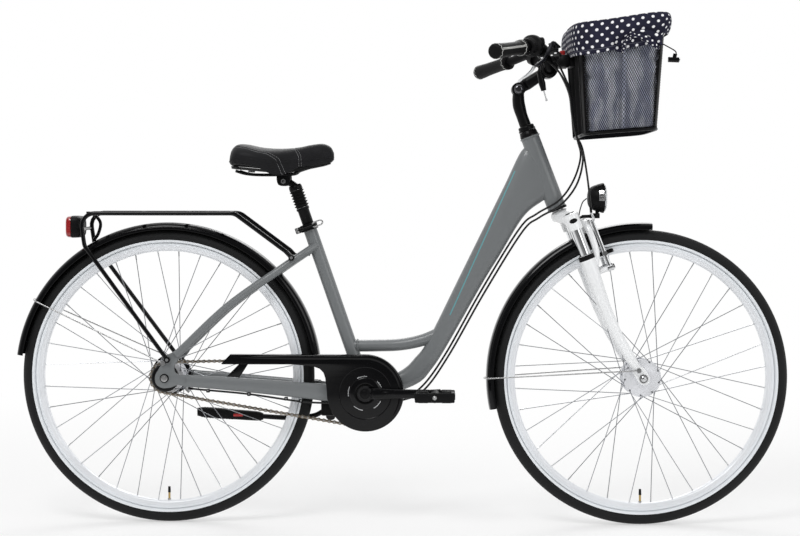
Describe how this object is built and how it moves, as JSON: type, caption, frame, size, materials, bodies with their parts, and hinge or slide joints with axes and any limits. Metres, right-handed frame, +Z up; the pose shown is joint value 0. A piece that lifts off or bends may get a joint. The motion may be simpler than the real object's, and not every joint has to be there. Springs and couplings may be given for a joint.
{
  "type": "city_bike",
  "caption": "Step-through city bike with suspension fork, chainguard, mudguards, rear rack, kickstand, lights and a cloth-lined front basket",
  "frame": {"origin": "middle of the bounding box in x and y, on the ground under the tyres", "axes": "+X to the front of the bike, +Y to its left side, +Z up"},
  "size_m": [1.8331, 0.6081, 1.2088],
  "materials": {
    "frame_grey": "satin grey paint",
    "fork_white": "gloss white paint",
    "black_gloss": "gloss black",
    "black_satin": "satin black",
    "black_plastic": "matte black",
    "red_plastic": "gloss red",
    "tyre_rubber": "matte",
    "grip_rubber": "matte",
    "chrome": "polished",
    "aluminium": "fine brushed",
    "rim_silver": "satin",
    "steel": "plated",
    "chain_brown": "bronze-brown plated",
    "leather": "grained",
    "lens_clear": "clear",
    "navy_cloth": "woven cotton"
  },
  "bodies": {
    "frame": {"frame": "frame_grey", "bottom_bracket": "steel", "seat_collar": "aluminium", "rear_fender": "black_gloss", "rear_fender_stay": "chrome", "rack": "black_gloss", "tail_light": "black_plastic", "tail_light_lens": "red_plastic", "chainguard": "black_gloss", "chain": "chain_brown", "roller_brake": "black_satin", "rear_brake_cable": "black_plastic", "shift_cable": "black_plastic"},
    "collar_lever": {"seat_collar_lever": "aluminium"},
    "seatpost": {"seatpost": "black_satin", "seatpost_bellows": "grip_rubber"},
    "seat_head": {"seatpost_head": "black_satin"},
    "saddle": {"saddle_pad": "leather", "saddle_base": "black_plastic", "saddle_rails": "steel"},
    "crankset": {"crank_right": "black_satin", "crank_left": "black_satin"},
    "pedal_right": {"pedal_right": "grip_rubber"},
    "pedal_left": {"pedal_left": "grip_rubber"},
    "driver": {"rear_sprocket": "steel"},
    "rear_wheel": {"rear_tyre": "tyre_rubber", "rear_rim": "rim_silver", "rear_hub": "aluminium"},
    "roller_arm": {"roller_brake_arm": "steel"},
    "steering": {"fork_crown": "fork_white", "stem_quill": "black_satin", "headset_locknut": "black_satin", "front_brake_cable": "black_plastic"},
    "fork_lowers": {"fork_lowers": "fork_white", "front_fender": "black_gloss", "front_fender_stay": "chrome", "front_axle": "steel", "lamp_bracket": "black_satin", "lamp_wire": "black_plastic"},
    "front_wheel": {"front_tyre": "tyre_rubber", "front_rim": "rim_silver", "front_hub": "aluminium"},
    "brake_arm_right": {"brake_arm_right": "aluminium"},
    "brake_arm_left": {"brake_arm_left": "aluminium"},
    "bar": {"stem_extension": "black_satin", "handlebar": "black_satin", "grip_right": "grip_rubber", "grip_left": "grip_rubber", "twist_shifter": "black_plastic", "brake_perch_right": "black_plastic", "brake_perch_left": "black_plastic", "basket_adapter": "black_plastic"},
    "lever_right": {"brake_lever_right": "aluminium"},
    "lever_left": {"brake_lever_left": "aluminium"},
    "headlight": {"headlight": "black_gloss", "headlight_lens": "lens_clear"},
    "kickstand": {"kickstand": "black_satin"},
    "basket": {"basket": "black_satin", "basket_liner": "navy_cloth"},
    "basket_button": {"basket_button": "red_plastic"}
  },
  "joints": [
    {"name": "seat_collar_lever", "type": "hinge", "parent": "frame", "child": "collar_lever", "pos_m": [-0.24309, -0.0225, 0.69534], "axis": [0.3289, 0, -0.9444], "range_deg": [0, 150]},
    {"name": "seat_height", "type": "slide", "parent": "frame", "child": "seatpost", "axis": [-0.3289, 0, 0.9444], "range_m": [-0.034, 0.045]},
    {"name": "seat_suspension", "type": "slide", "parent": "seatpost", "child": "seat_head", "axis": [-0.3289, 0, 0.9444], "range_m": [-0.03, 0], "stiffness_N_per_m": 9000, "springref_m": 0.008, "deforming": ["seatpost_bellows"]},
    {"name": "saddle_tilt", "type": "hinge", "parent": "seat_head", "child": "saddle", "pos_m": [-0.2767, 0.0015, 0.812], "axis": [0, 1, 0], "range_deg": [-12, 12]},
    {"name": "crank", "type": "hinge", "parent": "frame", "child": "crankset", "pos_m": [-0.0817, 0.0015, 0.314], "axis": [0, 1, 0], "continuous": true, "deforming": ["chain"]},
    {"name": "pedal_right", "type": "hinge", "parent": "crankset", "child": "pedal_right", "pos_m": [0.0833, 0.0015, 0.314], "axis": [0, 1, 0], "continuous": true},
    {"name": "pedal_left", "type": "hinge", "parent": "crankset", "child": "pedal_left", "pos_m": [-0.2467, 0.0015, 0.314], "axis": [0, 1, 0], "continuous": true},
    {"name": "driver", "type": "hinge", "parent": "frame", "child": "driver", "pos_m": [-0.5542, 0.0015, 0.349], "axis": [0, 1, 0], "continuous": true, "deforming": ["chain"]},
    {"name": "rear_wheel", "type": "hinge", "parent": "frame", "child": "rear_wheel", "pos_m": [-0.5542, 0.0015, 0.349], "axis": [0, 1, 0], "continuous": true},
    {"name": "roller_brake_arm", "type": "hinge", "parent": "frame", "child": "roller_arm", "pos_m": [-0.5542, 0.0015, 0.349], "axis": [0, -1, 0], "range_deg": [0, 12], "stiffness_Nm_per_rad": 2},
    {"name": "steering", "type": "hinge", "parent": "frame", "child": "steering", "pos_m": [0.52859, 0.0015, 0.33395], "axis": [-0.3584, 0, 0.9336], "range_deg": [-63.3, 56.7], "deforming": ["rear_brake_cable", "shift_cable"]},
    {"name": "fork_slide", "type": "slide", "parent": "steering", "child": "fork_lowers", "axis": [-0.3584, 0, 0.9336], "range_m": [0, 0.04], "stiffness_N_per_m": 9000, "springref_m": -0.012, "deforming": ["front_brake_cable"]},
    {"name": "front_wheel", "type": "hinge", "parent": "fork_lowers", "child": "front_wheel", "pos_m": [0.56773, 0.00392, 0.34898], "axis": [-0.0537, 0.9983, -0.0206], "continuous": true},
    {"name": "v_brake_right", "type": "hinge", "parent": "fork_lowers", "child": "brake_arm_right", "pos_m": [0.48592, -0.03721, 0.60785], "axis": [-0.932, -0.0576, -0.3578], "range_deg": [0, 1.9], "stiffness_Nm_per_rad": 2},
    {"name": "v_brake_left", "type": "hinge", "parent": "fork_lowers", "child": "brake_arm_left", "pos_m": [0.48141, 0.04665, 0.60612], "axis": [0.932, 0.0576, 0.3578], "range_deg": [0, 1.9], "stiffness_Nm_per_rad": 2},
    {"name": "stem_angle", "type": "hinge", "parent": "steering", "child": "bar", "pos_m": [0.27739, 0.00233, 1.02846], "axis": [-0.0537, 0.9983, -0.0206], "range_deg": [-20, 15], "deforming": ["rear_brake_cable", "shift_cable", "front_brake_cable"]},
    {"name": "brake_lever_right", "type": "hinge", "parent": "bar", "child": "lever_right", "pos_m": [0.35836, -0.12086, 1.11612], "axis": [0.0229, -0.4338, -0.9007], "range_deg": [0, 18], "stiffness_Nm_per_rad": 0.6},
    {"name": "brake_lever_left", "type": "hinge", "parent": "bar", "child": "lever_left", "pos_m": [0.34448, 0.137, 1.11079], "axis": [0.0218, -0.3963, 0.9179], "range_deg": [0, 18], "stiffness_Nm_per_rad": 0.6},
    {"name": "headlight_tilt", "type": "hinge", "parent": "fork_lowers", "child": "headlight", "pos_m": [0.46417, 0.00624, 0.73095], "axis": [-0.0537, 0.9983, -0.0206], "range_deg": [-10, 10], "deforming": ["lamp_wire"]},
    {"name": "kickstand", "type": "hinge", "parent": "frame", "child": "kickstand", "pos_m": [-0.1687, 0.0455, 0.262], "axis": [-0.0263, -0.7761, -0.63], "range_deg": [0, 95]},
    {"name": "basket_lift", "type": "slide", "parent": "bar", "child": "basket", "axis": [-0.0005, 0.0206, 0.9998], "range_m": [0, 0.1]},
    {"name": "basket_button", "type": "slide", "parent": "bar", "child": "basket_button", "axis": [0.0005, -0.0206, -0.9998], "range_m": [0, 0.002], "stiffness_N_per_m": 400, "springref_m": -0.002}
  ],
  "couplings": [
    {"joint": "driver", "follows": "crank", "ratio": 2.2222},
    {"joint": "roller_brake_arm", "follows": "brake_lever_right", "ratio": 0.6667},
    {"joint": "v_brake_right", "follows": "brake_lever_left", "ratio": 0.1055},
    {"joint": "v_brake_left", "follows": "brake_lever_left", "ratio": 0.1055}
  ]
}
